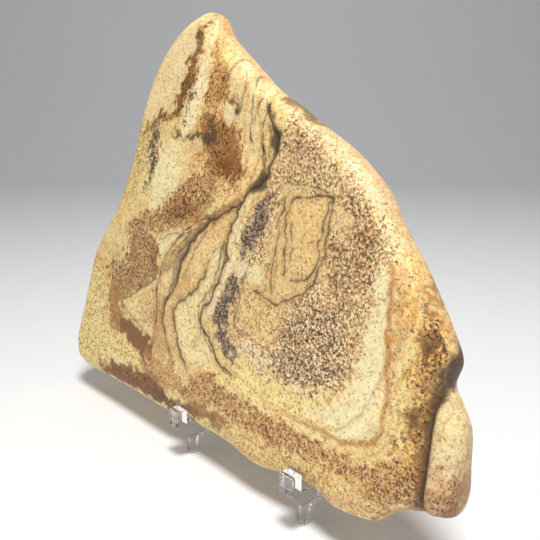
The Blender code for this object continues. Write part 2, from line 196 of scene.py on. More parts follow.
# How far the seams and hairlines wander between those places. The toe's groove runs true.
SWIRL_SEED = 3  # fixes the swirls that push the seams and patches aside
SEAM_SWING, HAIRLINE_SWING = 1.2, 0.9
SEAM_SWIRLS, HAIRLINE_SWIRLS = 1.5, 4.5  # where in the swirls each kind starts
BROAD_SWIRL, FINE_SHIFT = 3, 5  # width of the broad swirls, and how far off the fine ones start


def curve_point(before, start, end, after, t):
    """The place between start and end on a Catmull-Rom curve."""
    return 0.5 * (2 * start + (end - before) * t + (2 * before - 5 * start + 4 * end - after) * t**2
                  + (3 * start - before - 3 * end + after) * t**3)


def smooth_loop(corners, step):
    """Points on a closed curve through the corners."""
    corners = np.array(corners, float)
    points = []
    for i in range(len(corners)):
        before, start, end, after = corners[np.arange(i - 1, i + 3) % len(corners)]
        count = max(1, round(np.linalg.norm(end - start) / step))
        for t in np.arange(count) / count:
            points.append(curve_point(before, start, end, after, t))
    return np.array(points)


def wandering(line, swing, swirls):
    """The line as a smooth curve through its places, with a small natural wander between them."""
    rows = np.array(line, float)
    rows = np.concatenate([[2 * rows[0] - rows[1]], rows, [2 * rows[-1] - rows[-2]]])
    found = []
    for before, start, end, after in zip(rows, rows[1:], rows[2:], rows[3:]):
        count = max(1, round(np.linalg.norm(end[:2] - start[:2]) / LINE_STEP))
        for t in np.arange(count) / count:
            found.append(curve_point(before, start, end, after, t))
    found = np.array([*found, rows[-2]])
    for row in found:
        broad = noise.noise_vector(Vector((row[0] / BROAD_SWIRL, row[1] / BROAD_SWIRL, swirls)))
        row[:2] += swing * np.array(broad)[:2]
        fine = noise.noise_vector(Vector((row[0], row[1], swirls + FINE_SHIFT)))
        row[:2] += swing / 2 * np.array(fine)[:2]
    return [tuple(row) for row in found]


def to_segment(points, start, end):
    """Distance from each point to one segment, and how far along it the nearest place is."""
    along = end - start
    share = np.clip((points - start) @ along / (along @ along), 0, 1)
    return np.linalg.norm(points - start - share[:, None] * along, axis=1), share


def to_loop(points, loop):
    """Distance from each point to a closed line, counted as negative inside it."""
    nearest = np.full(len(points), np.inf)
    crossings = np.zeros(len(points), bool)
    for start, end in zip(loop, np.roll(loop, -1, axis=0)):
        nearest = np.minimum(nearest, to_segment(points, start, end)[0])
        if start[1] != end[1]:
            meets = (end[0] - start[0]) * (points[:, 1] - start[1]) / (end[1] - start[1]) + start[0]
            crossings ^= ((start[1] > points[:, 1]) != (end[1] > points[:, 1])) & (points[:, 0] < meets)
    return np.where(crossings, -nearest, nearest)


def along_lines(lines):
    """Every segment of the lines as two rows of numbers."""
    for line in lines:
        rows = np.array(line, float)
        yield from zip(rows[:-1], rows[1:])


noise.seed_set(SWIRL_SEED)
grooves = [wandering(TOE_GROOVE, 0.0, SEAM_SWIRLS)]
grooves += [wandering(seam, SEAM_SWING, SEAM_SWIRLS) for seam in SEAMS]
hairlines = [(half, dark, wandering(line, HAIRLINE_SWING, HAIRLINE_SWIRLS))
             for half, dark, line in HAIRLINES]


def groove_depth(points):
    depth = np.zeros(len(points))
    for start, end in along_lines(grooves):
        distance, share = to_segment(points, start[:2], end[:2])
        half, deep = (start[2:] + share[:, None] * (end[2:] - start[2:])).T
        depth = np.maximum(depth, deep * np.exp(-((distance / half) ** 2)))
    return depth


def half_thickness(edge_distance, crown):
    share = np.clip(1 - edge_distance / RIM, 0, 1)
    return (THICK / 2 * np.sqrt(1 - share**2)
            + crown * np.clip((edge_distance - RIM) / CROWN_REACH, 0, 1))


def rows_of_points(low, high, step):
    rows = []
    for j, w in enumerate(np.arange(low[1], high[1], step * math.sqrt(3) / 2)):
        us = np.arange(low[0] + (j % 2) * step / 2, high[0], step)
        rows.append(np.stack([us, np.full(len(us), w)], axis=1))
    return np.concatenate(rows)


outline = smooth_loop(OUTLINE, EDGE_STEP)
tangent = np.roll(outline, -1, axis=0) - np.roll(outline, 1, axis=0)
tangent /= np.linalg.norm(tangent, axis=1)[:, None]
inward = np.stack([tangent[:, 1], -tangent[:, 0]], axis=1)


def rim_points(levels):
    """Points at even steps round the rim's curve, left out where tight corners make them crowd."""
    found = []
    for level in range(1, levels + 1):
        inset = RIM * (1 - math.cos(math.pi / 2 * level / levels))
        ring = outline + inward * inset
        found.append(ring[np.abs(-to_loop(ring, outline) - inset) < CROWDED + CROWDED_INSIDE * inset])
    return np.concatenate(found)


def mark_points():
    """Points down the middle of each line and on both its flanks, so that it is crisp in the mesh."""
    found = []
    lines = [tuple((u, w, half) for u, w, half, _ in groove) for groove in grooves]
    lines += [tuple((u, w, half) for u, w in places) for half, _, places in hairlines]
    for start, end in along_lines(lines):
        along = end[:2] - start[:2]
        length = np.linalg.norm(along)
        side = np.array((-along[1], along[0])) / length
        for t in np.arange(0, 1, MARK_STEP / length):
            u, w, half = start + t * (end - start)
            for reach in MARK_FLANKS:
                found.append(np.array((u, w)) + side * reach * half)
    return np.array(found)


def clear_of_lines(points, gap):
    keep = np.ones(len(points), bool)
    lines = [tuple((u, w) for u, w, *_ in groove) for groove in grooves]
    lines += [places for _, _, places in hairlines]
    for start, end in along_lines(lines):
        keep &= to_segment(points, start, end)[0] > gap
    return points[keep]


def face_sheet(inner):
    """Triangles that fill the outline and use the inner points. The outline's points come first."""
    points = [Vector(p) for p in np.concatenate([outline, inner])]
    edges = [(i, (i + 1) % len(outline)) for i in range(len(outline))]
    places, _, faces, *_ = delaunay_2d_cdt(points, edges, [], INSIDE_ONLY, TOUCHING)
    return np.array([tuple(p) for p in places]), np.array([tuple(f) for f in faces])


def face_height(places, crown):
    distance = np.maximum(-to_loop(places, outline), 0)
    distance[:rim_count] = 0
    return half_thickness(distance, crown)


low, high = outline.min(axis=0), outline.max(axis=0)
rim_count = len(outline)
front_rows = rows_of_points(low, high, FRONT_STEP)
front_rows = front_rows[to_loop(front_rows, outline) < -RIM - FRONT_GAP]
front_rows = clear_of_lines(front_rows, LINE_GAP)
marks = mark_points()
marks = marks[to_loop(marks, outline) < -MARK_MARGIN]
front_places, front_faces = face_sheet(np.concatenate([front_rows, rim_points(RIM_LEVELS), marks]))
back_rows = rows_of_points(low, high, BACK_STEP)
back_rows = back_rows[to_loop(back_rows, outline) < -RIM - BACK_GAP]
back_places, back_faces = face_sheet(np.concatenate([back_rows, rim_points(RIM_LEVELS)]))
front_height = face_height(front_places, CROWN)
front_height -= groove_depth(front_places) * np.clip(front_height / GROOVE_FADE, 0, 1)
front_height[:rim_count] = 0
back_height = -face_height(back_places, 0)
places = np.concatenate([front_places, back_places[rim_count:]])
heights = np.concatenate([front_height, back_height[rim_count:]])
turned = np.where(back_faces < rim_count, back_faces, back_faces + len(front_places) - rim_count)
faces = np.concatenate([front_faces, turned[:, ::-1]])

# The stone's main colours, as they look in even light.
MILK = (238, 222, 188)
CREAM = (246, 230, 176)
PEACH = (240, 214, 158)
BUTTER = (230, 206, 140)
HONEY = (220, 180, 112)
ASH = (150, 134, 110)
DUST = (190, 160, 120)
EARTH = (84, 52, 30)
SOOT = (60, 48, 36)
STAIN = (150, 100, 54)
LAYER = (186, 130, 70)
FEW_BROWN = 0.3  # brown specks where no patch says otherwise

# The speckled core. The layers outside it wrap round this shape.
CORE = (
    (3, 117), (14, 112), (24, 107), (36, 98), (46, 89), (53, 79), (54, 66), (50, 52), (44, 36), (36, 30),
    (10, 31), (2, 34), (-8, 38), (-12, 48), (-8, 60), (-2, 78), (0, 92), (2, 104),
)

# Patches of colour: tint, how strongly it covers, softness of its edge, brown specks, slate specks, and
# the corners of the patch. Later ones lie over earlier ones.
PATCHES = (
    (PEACH, 0.9, 4, 0.12, 0,
     ((-56, 153), (-72, 142), (-84, 125), (-88, 110), (-72, 114), (-60, 120), (-52, 134), (-46, 150))),
    ((222, 192, 120), 0.9, 4, 0.55, 0.25,
     ((-87, 112), (-92, 90), (-104, 72), (-116, 52), (-119, 36), (-104, 42), (-96, 60), (-84, 78),
      (-76, 96), (-75, 112))),
    (CREAM, 0.7, 5, 0.3, 0.1, ((-72, 102), (-52, 104), (-48, 92), (-54, 80), (-68, 76), (-76, 86))),
    ((232, 192, 116), 0.85, 3, 0.4, 0.1,
     ((-40, 151), (-28, 143), (-20, 134), (-28, 129), (-40, 128), (-44, 138))),
    ((240, 206, 142), 0.9, 2.5, 0.1, 0,
     ((-26, 138), (-8, 127), (-4, 118), (-6, 100), (-13, 96), (-19, 108), (-20, 120), (-27, 128))),
    ((224, 180, 120), 0.8, 4, 0.5, 0,
     ((-44, 104), (-40, 114), (-34, 136), (-26, 130), (-16, 108), (-11, 98), (-16, 89), (-28, 87),
      (-42, 93))),
    ((178, 126, 74), 0.75, 2.5, 0.85, 0.1,
     ((-34, 134), (-28, 132), (-26, 125), (-28, 119), (-35, 117), (-40, 120), (-38, 127))),
    ((140, 88, 36), 0.78, 4.4, 0.85, 0.3,
     ((-41, 112), (-36, 117), (-31, 113), (-27, 116), (-23, 112), (-19, 109), (-15.5, 101), (-13, 96),
      (-18, 91.6), (-25, 94), (-29, 91), (-33, 98), (-40, 101), (-37, 107))),
    ((100, 68, 40), 0.75, 1.6, 0.8, 0.4, ((-37, 110), (-31, 113), (-28, 108), (-30, 103), (-36, 104))),
    ((110, 62, 20), 0.85, 2.6, 0.7, 0.1,
     ((-29, 98), (-22, 101), (-17, 102), (-13.5, 98), (-19, 95), (-26, 93.6))),
    (CREAM, 0.8, 0.9, 0.05, 0, ((-28, 117), (-26, 119), (-22, 117), (-20, 113), (-23, 111.5), (-27, 113))),
    ((246, 218, 156), 0.8, 1.1, 0.05, 0,
     ((-26, 132), (-20, 134), (-17, 130), (-18, 124), (-22, 121), (-26, 125))),
    ((216, 188, 130), 0.3, 3, 0.3, 0.75,
     ((-76, 112), (-66, 112), (-64, 100), (-67, 92), (-74, 88), (-79, 100))),
    ((226, 200, 146), 0.3, 2, 0.3, 0.55, ((-48, 107), (-38, 110), (-36, 102), (-44, 100))),
    ((190, 150, 102), 0.85, 3.5, 0.8, 0.15,
     ((-50, 88), (-42, 93), (-34, 94), (-27, 90), (-28, 84), (-34, 79), (-42, 74.5), (-52, 71), (-66, 69),
      (-80, 62), (-85, 68), (-74, 75), (-60, 80))),
    ((158, 112, 68), 0.7, 3, 0.9, 0.2, ((-50, 84), (-40, 85), (-35, 79), (-44, 74.5), (-56, 75))),
    ((184, 146, 104), 0.9, 2.6, 0.8, 0.1,
     ((-80, 64), (-72, 69), (-62, 67.5), (-58, 62), (-57, 54), (-60, 48.6), (-68, 44), (-76, 40),
      (-82, 36.6), (-90, 39), (-93, 44), (-88, 51), (-81, 56))),
    ((144, 108, 74), 0.55, 2.2, 0.8, 0.6, ((-66, 62), (-59, 63), (-57, 57), (-58, 51), (-63, 54))),
    ((224, 190, 122), 0.8, 4, 0.3, 0,
     ((-98, 72), (-88, 78), (-82, 70), (-84, 60), (-90, 52), (-102, 50), (-108, 58))),
    ((228, 206, 134), 0.9, 3.5, 0.5, 0.16,
     ((-120, 42), (-104, 46), (-95, 40), (-90, 33), (-92, 24), (-84, 20), (-70, 20), (-63, 14), (-60, 9),
      (-76, 8), (-94, 3), (-112, -2), (-122, 6), (-122, 20))),
    ((164, 116, 66), 0.88, 2.6, 0.65, 0.1,
     ((-94, 42), (-84, 40), (-80, 31), (-72, 28), (-60, 26), (-57, 20), (-60, 15), (-66, 19), (-76, 22),
      (-88, 22), (-93, 29))),
    ((118, 76, 42), 0.95, 1.8, 0.5, 0.1,
     ((-82, 31), (-73, 28.6), (-64, 27), (-58.4, 25), (-56.8, 18), (-58, 13), (-62.5, 15.5), (-67, 19.6),
      (-74, 21), (-82, 24))),
    ((190, 146, 92), 0.85, 2, 0.6, 0,
     ((-58, 20), (-50, 19), (-42, 19.5), (-34, 16), (-31, 9), (-44, 8), (-57, 12))),
    ((196, 150, 94), 0.9, 1.4, 0.4, 0,
     ((-57, 50), (-51, 47), (-50.5, 38), (-50, 32), (-46, 27), (-43, 20.5), (-56, 21), (-55, 28), (-57, 35),
      (-55.5, 42))),
    ((218, 178, 116), 0.9, 1.2, 0.2, 0,
     ((-50, 38), (-46, 43.5), (-43, 41), (-42, 36), (-40, 30.5), (-37, 25), (-32.5, 21), (-42, 20),
      (-46, 26), (-49.6, 32))),
    (BUTTER, 0.95, 0.9, 0.3, 0,
     ((-81.5, 35.4), (-74, 40), (-68, 43.6), (-61, 47.8), (-57.5, 51), (-55, 49), (-55.6, 41), (-56.8, 35),
      (-56, 29), (-55, 26), (-62, 27.5), (-70, 29.2), (-76, 31))),
    ((204, 164, 106), 0.65, 3, 0.5, 0, ((-62, 46), (-56, 48), (-56, 40), (-57, 31), (-64, 30), (-69, 37))),
    (CREAM, 0.95, 0.9, 0.04, 0,
     ((-60, 66.5), (-57, 69), (-51, 70.3), (-45, 69.5), (-48, 66), (-52, 62), (-56, 60), (-58, 61.5),
      (-57.5, 64))),
    ((222, 180, 112), 0.9, 1.3, 0.3, 0.3,
     ((-31, 76), (-24, 79), (-16, 83), (-13.5, 80), (-15, 75), (-18, 71.5), (-22, 71), (-29, 73))),
    ((230, 196, 130), 0.9, 1.3, 0.35, 0,
     ((-36, 71), (-28, 73), (-21, 70.5), (-24, 65), (-27, 58.5), (-32, 52), (-38, 46), (-44, 42.5),
      (-48, 45), (-43, 52), (-41, 60), (-38, 66))),
    ((206, 160, 104), 0.75, 2, 0.3, 0,
     ((-42, 53), (-36, 56), (-32.5, 52.5), (-37.5, 46.6), (-43, 43.4), (-46, 46))),
    ((240, 218, 158), 0.95, 1.2, 0.3, 0,
     ((-27, 58), (-22, 67), (-19, 70), (-18, 60), (-21, 52), (-26, 45), (-27, 42), (-25, 38), (-20, 33),
      (-14, 28), (-22, 23.4), (-32, 21.8), (-37, 26), (-40.4, 32), (-42.5, 38), (-43, 41), (-37, 46.5),
      (-31, 52.6))),
    ((218, 190, 144), 0.9, 3, 0.68, 0.15, CORE),
    ((196, 166, 132), 0.6, 3.5, 0.75, 0.3, ((8, 113), (22, 107), (18, 97), (7, 101))),
    ((196, 166, 128), 0.6, 4, 0.8, 0.2, ((34, 93), (48, 84), (47, 70), (36, 62), (31, 70), (32, 82))),
    ((226, 190, 128), 0.6, 3, 0.3, 0, ((30, 90), (36, 86), (36, 80), (30, 82))),
    ((220, 186, 124), 0.9, 2.4, 0.5, 0.15,
     ((-6, 61), (2, 58), (10, 55), (17, 54), (18, 47), (13, 41), (4, 40), (-6, 42), (-7.5, 48), (-6, 55))),
    ((216, 194, 158), 0.8, 5, 0.85, 0.5,
     ((13, 46), (20, 55), (30, 58), (38, 56), (41, 46), (40, 36), (36, 30.5), (18, 29.5), (13, 36))),
    ((220, 184, 120), 0.9, 1.6, 0.3, 0,
     ((3, 68), (6, 86), (10, 93), (29, 91.6), (29.4, 80), (27, 68), (20, 59.8), (10, 55), (-1, 57),
      (-4, 60), (1, 65))),
    ((226, 190, 124), 0.8, 0.9, 0.35, 0,
     ((12.6, 68), (13, 65), (20, 65), (25, 69), (26.4, 77), (27.4, 90), (15, 89.6), (12, 86), (11.4, 77))),
    (CREAM, 0.85, 1.6, 0.05, 0, ((-4, 60), (3, 58.5), (5, 62), (3, 65), (-3, 64.4))),
    ((240, 214, 142), 0.9, 2.2, 0.32, 0.05,
     ((-16, 29), (-8, 29.6), (10, 30), (30, 31), (42, 35), (48, 46), (49, 60), (50, 70), (54, 68), (56, 56),
      (57, 44), (57, 32), (54, 25), (48, 22.4), (30, 21.4), (8, 21), (-6, 21.6), (-20, 24))),
    ((252, 238, 188), 0.9, 2.4, 0.05, 0,
     ((30, 25.6), (45, 22.6), (52.6, 23.4), (56.4, 29), (57, 38), (56, 50), (53.6, 68), (49, 76),
      (48.4, 60), (47, 48), (45, 38), (41, 31))),
    ((194, 154, 102), 0.9, 1.6, 0.75, 0.15,
     ((-34, 13), (-28, 18), (-22, 22.4), (-16, 23), (-8, 20.4), (4, 18.6), (20, 18.2), (40, 17), (50, 16.6),
      (58, 18.6), (64, 24), (67, 32), (73, 34), (74, 14), (62, 8.6), (40, 11), (20, 9), (0, 10), (-16, 12),
      (-31, 9))),
    ((216, 184, 122), 0.8, 2.4, 0.5, 0.1,
     ((-8, 8), (10, 10), (30, 9), (46, 10.6), (60, 9), (64, 7), (58, 0), (44, -2), (20, -3), (-4, -2))),
    ((224, 178, 104), 0.85, 2.4, 0.5, 0.1, ((56, 80), (62, 74), (70, 62), (66, 56), (60, 57), (57, 66))),
    ((208, 164, 96), 0.85, 2.2, 0.9, 0.45,
     ((64, 62), (71, 62), (74, 52), (73, 40), (73, 20), (66, 18), (64, 28), (65, 40), (64, 50))),
    ((104, 62, 24), 0.9, 2.4, 0.9, 0.4,
     ((65, 61), (69, 60.5), (70.8, 55), (69, 52), (65.5, 52.6), (64.4, 57))),
    ((92, 60, 32), 0.9, 3, 0.9, 0.6, ((64, 39.5), (67, 41.5), (70.4, 38), (70.6, 33), (68, 30), (65, 33))),
    ((120, 88, 56), 0.5, 1.4, 0.8, 0.8, ((66, 47), (69, 48), (69.4, 43), (66.6, 43))),
    # The upper right rim, darkened as painted shade to tone down the light on its roll-over.
    ((216, 184, 138), 0.9, 2.4, 0.4, 0,
     ((14, 116), (26, 111), (38, 104), (52, 90), (62, 78), (57, 77), (47, 89), (35, 98), (22, 107),
      (8, 115))),
    # The notch above the toe: dark brown, partly the stone's own colour and partly painted shade in the
    # hollow.
    ((128, 92, 62), 0.7, 2.6, 0.8, 0.5, ((73, 57), (77, 56), (80, 50), (76, 44), (73.6, 46), (73.4, 52))),
    ((234, 214, 158), 0.95, 0.8, 0.05, 0,
     ((73.8, 44.6), (80, 46.5), (86, 34), (86, 16), (79, 8), (73, 9), (73.2, 24), (73, 38))),
    ((182, 140, 110), 0.85, 7, 0.6, 0.05, ((73, 27), (86, 27), (86, 8), (72, 7))),
)

# Bands that follow a line: tint, cover, softness, brown specks, slate specks, then U, W and half width.
BANDS = (
    (CREAM, 0.85, 2.2, 0.1, 0, ((-60, 101, 3), (-61, 90, 3.4), (-65, 80, 3))),
    ((214, 168, 90), 0.6, 1.6, 0.3, 0, ((-68, 99, 1.4), (-69, 88, 1.8), (-71, 79, 1.6))),
    ((250, 234, 186), 0.85, 1.6, 0.25, 0.35,
     ((-39.5, 141, 1.4), (-42, 130, 3), (-43.5, 122, 4), (-48, 114, 3.4), (-50, 109, 2))),
    ((120, 72, 34), 0.9, 2, 0.9, 0.3,
     ((-43, 150, 0.9), (-45, 143, 1.7), (-47.5, 137, 2.2), (-50, 131, 2.7), (-51.5, 126, 3.4),
      (-54, 120, 3.1), (-56, 115.5, 2.6))),
    ((150, 106, 62), 0.65, 1.5, 0.85, 0.3,
     ((-73, 109, 1.4), (-68, 113, 1.8), (-63, 115.5, 1.6), (-58, 115, 1.4))),
    ((134, 84, 40), 0.8, 1.2, 0.5, 0, ((-21, 109, 1.2), (-19.4, 104, 1.7), (-18.5, 99, 1.8))),
    (CREAM, 0.7, 1, 0.05, 0, ((-13.6, 127, 1.2), (-12, 115, 1.3), (-9.6, 103, 1.2))),
    ((216, 160, 92), 0.6, 0.8, 0.1, 0, ((-16.6, 130, 0.5), (-16, 118, 0.8), (-14, 106, 0.8))),
    ((204, 146, 82), 0.6, 0.6, 0.1, 0,
     ((-26.6, 126, 0.4), (-25.6, 132, 0.4), (-21, 134.8, 0.4), (-16.6, 132.6, 0.4), (-14.4, 127, 0.4))),
    ((208, 150, 84), 0.55, 0.6, 0.1, 0, ((-10.6, 124, 0.5), (-10.4, 114, 0.6), (-7.4, 104, 0.5))),
    ((52, 42, 34), 0.9, 1.3, 0.3, 0.5,
     ((-47, 106.6, 1.2), (-44, 108.2, 1.5), (-41, 107.8, 1.7), (-38.4, 109.4, 1))),
    ((56, 46, 36), 0.9, 1.3, 0.3, 0.5,
     ((-58, 108.6, 0.9), (-54.6, 107.8, 1.6), (-52, 107, 1.1), (-50.2, 105, 0.8))),
    ((58, 44, 32), 0.85, 1.3, 0.3, 0.5, ((-36.6, 107, 1.3), (-33, 105.6, 1.6), (-30.6, 103.6, 1))),
    (SOOT, 0.85, 1.2, 0.2, 0.5, ((-26, 121, 0.9), (-22, 119.2, 1.1), (-19.4, 116.8, 0.7))),
    (SOOT, 0.8, 1.2, 0.2, 0.5, ((-22, 122.4, 0.6), (-21.4, 118.4, 0.9), (-22.4, 115, 0.5))),
    ((166, 110, 58), 0.7, 1, 0.5, 0,
     ((-57, 70.4, 0.5), (-50, 71.6, 0.7), (-44, 73.6, 0.8), (-38, 76, 1), (-33, 80, 1.1), (-28, 85, 1.1),
      (-26, 90, 0.8))),
    ((228, 192, 126), 0.85, 0.9, 0.2, 0, ((-57, 57, 1), (-52, 62, 1.2), (-46, 67.4, 1.4), (-38, 73, 1.2))),
    ((176, 142, 100), 0.85, 1, 0.4, 0.1,
     ((-55, 52, 1), (-50.6, 57.6, 1.3), (-46, 63, 1.3), (-39, 69.4, 1.3), (-32, 75, 1))),
    ((234, 212, 152), 0.85, 0.9, 0.1, 0, ((-53, 46, 1), (-51, 51, 1.2), (-47.4, 57, 0.8))),
    (ASH, 0.9, 1, 0.3, 0.6,
     ((-30, 76, 1.2), (-35, 71, 1.6), (-39, 66.4, 2), (-42.4, 61, 2.8), (-44.6, 56, 2.8), (-46, 51.6, 1.5),
      (-48, 47, 0.6))),
    ((138, 102, 68), 0.85, 1.1, 0.6, 0.3,
     ((-34, 76, 1.6), (-28, 78.6, 1.8), (-22, 81.4, 1.5), (-16, 84.8, 1), (-10, 88.4, 0.7))),
    ((124, 100, 72), 0.85, 0.7, 0.1, 0.2, ((-18.5, 70, 0.6), (-17.2, 66, 1.2), (-18, 61, 0.6))),
    ((244, 230, 190), 0.85, 1.1, 0.2, 0,
     ((-7.6, 88, 1), (-11, 85, 1.6), (-12, 80, 1.6), (-12.4, 74, 1.3), (-14, 67.5, 1.1), (-14.8, 61.5, 0.9),
      (-17.4, 54, 1.1), (-21.6, 46.8, 1.1), (-23.6, 43.4, 0.8))),
    ((160, 142, 122), 0.8, 3, 0.5, 1,
     ((1, 88, 2.2), (-1, 83, 3.8), (-3, 78, 4.4), (-5.6, 73, 4), (-8, 68, 2.4))),
    ((152, 136, 118), 0.85, 3, 0.5, 1,
     ((-10, 60, 2.8), (-12, 53, 3.4), (-14.6, 48, 3.6), (-16, 43, 3.8), (-15, 38.5, 3.2), (-11, 35.6, 3.2),
      (-5, 34.4, 2.6))),
    (MILK, 0.6, 1.8, 0.3, 0.3, ((-9, 62, 1.6), (-7, 65, 2), (-5, 62.6, 1.6))),
    (MILK, 0.5, 2, 0.4, 0.6, ((-3, 36.6, 1.6), (4, 36, 2.4), (11, 34.6, 1.8))),
    ((174, 112, 48), 0.9, 0.8, 0.4, 0,
     ((53.4, 73, 0.8), (55, 60, 0.9), (57.4, 50, 0.9), (58.4, 40, 0.9), (58, 31, 1), (55.4, 25, 1),
      (50, 22, 0.9), (40, 21, 0.7), (28, 20.8, 0.4), (12, 20.6, 0.4))),
    ((232, 206, 136), 0.85, 1.2, 0.2, 0,
     ((58.6, 60, 1), (60.6, 52, 1.5), (62.4, 43, 1.9), (62.4, 34, 2.1), (60.6, 26.6, 2.2), (56, 20.8, 1.7),
      (48, 19, 1.2), (36, 18.9, 0.9), (20, 19.3, 0.8), (4, 19.7, 0.8), (-8, 21, 0.7))),
    ((200, 148, 94), 0.7, 1.4, 0.4, 0,
     ((55.6, 72, 0.9), (57.4, 62, 1.1), (59.4, 52, 0.9), (60.2, 42, 0.6))),
    ((168, 108, 50), 0.8, 1, 0.6, 0.3, ((60, 66, 1), (63, 64, 1.3), (67, 62.6, 0.8))),
    ((132, 86, 46), 0.85, 1.3, 0.4, 0, ((-31, 6.4, 1.4), (-22, 8.4, 2), (-12, 9, 1.9), (-5, 8.4, 1))),
    ((112, 70, 36), 0.95, 1.6, 0.8, 0.3,
     ((-94, 2, 2.4), (-82, 4.4, 4), (-70, 6, 4.8), (-58, 7, 4.8), (-47, 4.6, 3.6), (-39, 2.4, 2.2))),
    ((136, 94, 56), 0.75, 1.8, 0.6, 0.1, ((-56, 13, 1.8), (-51, 11, 2.4), (-48, 7, 2))),
    ((228, 198, 122), 0.8, 1.2, 0.2, 0, ((-44, 7.6, 0.9), (-39, 7.4, 1.2), (-35, 9.4, 0.8))),
    ((196, 156, 128), 0.7, 1.6, 0.5, 0.1, ((-96, 2.6, 1), (-90, 4, 1.4), (-86, 5.4, 0.9))),
    ((178, 118, 58), 0.6, 1.6, 0.3, 0, ((-47, 25, 1.4), (-43, 23.6, 1.2))),
    ((116, 96, 66), 0.7, 1.4, 0.3, 0, ((-94, 46.6, 0.7), (-92, 48, 1), (-90.6, 50, 0.6))),
    (CREAM, 0.6, 2.2, 0.05, 0, ((-108, 64, 1.2), (-98, 64, 2.6), (-88, 62, 1.6))),
    ((226, 176, 96), 0.8, 2.2, 0.4, 0.1,
     ((62, 66, 1.6), (65, 58, 1.4), (66.6, 46, 1.2), (67.6, 34, 1.4), (66, 24, 1.6))),
    (EARTH, 0.95, 1.3, 0.4, 0.3, ((64.6, 58.6, 1.2), (66, 56, 1.4), (69.4, 53.6, 1.3))),
    (EARTH, 0.9, 1.3, 0.4, 0.3, ((67.4, 39, 0.8), (68.6, 36, 1.3), (67.6, 33, 1))),
    (EARTH, 0.85, 1.3, 0.4, 0.3, ((71.4, 48, 0.6), (71, 43, 0.9), (71.6, 38, 0.6))),
    ((96, 60, 32), 0.85, 1.3, 0.4, 0.2, ((62.6, 70, 0.8), (65, 68, 1), (67.6, 64, 0.8))),
    (EARTH, 0.8, 1.3, 0.4, 0.3, ((68.6, 30, 0.7), (69.6, 26, 0.9), (68.6, 22, 0.6))),
    ((84, 54, 34), 0.9, 1.3, 0.4, 0.4, ((26, 5.4, 0.6), (29, 5, 1), (33, 6.4, 0.7))),
    ((96, 60, 34), 0.9, 1.4, 0.5, 0.3, ((-62, 2.4, 1.2), (-52, 3.4, 2), (-44, 4.4, 2), (-38, 2, 1.2))),
    ((104, 66, 36), 0.85, 1.3, 0.5, 0.2, ((-36, 5, 1.2), (-26, 4.6, 1.6), (-16, 6.4, 1.6), (-9, 6, 1))),
    ((206, 150, 82), 0.7, 2.4, 0.7, 0.2,
     ((-36, 146, 1.6), (-34, 138, 2.6), (-32, 130, 3), (-34, 120, 2.6))),
    ((70, 52, 38), 0.85, 1.2, 0.3, 0.6, ((-75, 113.6, 0.7), (-68, 114.4, 1), (-62, 114.6, 0.9))),
    ((64, 50, 40), 0.8, 1.2, 0.2, 0.7, ((-70, 105, 0.7), (-69, 100, 1), (-70, 95, 0.8), (-68.4, 91, 0.5))),
    ((74, 50, 32), 0.85, 1.2, 0.4, 0.5, ((-34.6, 112, 1.6), (-31, 108.6, 2), (-28.6, 104, 1.4))),
    (DUST, 0.3, 2, 0.4, 0.95, ((-47, 141, 0.6), (-46, 132, 1.2), (-47.5, 122, 1.6), (-50, 112, 1.4))),
    (DUST, 0.2, 2, 0.3, 1, ((-70, 108, 2.4), (-68, 98, 3), (-70, 90, 2), (-74, 84, 1))),
    ((140, 108, 70), 0.4, 2, 0.8, 0.9, ((-78, 106, 1), (-73, 112, 1.8), (-64, 114, 1.8))),
    ((200, 168, 116), 0.2, 3, 0.6, 0.9, ((-84, 60, 1), (-92, 49, 2.4), (-97, 47, 2), (-104, 52, 1))),
    ((214, 190, 130), 0.1, 3, 0.3, 0.9, ((-117, 40, 1), (-118.6, 28, 1.6), (-117, 20, 1.6))),
    ((200, 170, 120), 0.2, 3, 0.5, 0.9, ((-80, 10, 1.4), (-72, 8, 1.8), (-66, 10, 1))),
    ((244, 224, 160), 0.7, 1.6, 0.05, 0, ((-88, 8.6, 1.4), (-78, 11, 1.6), (-68, 10.8, 1.2))),
)

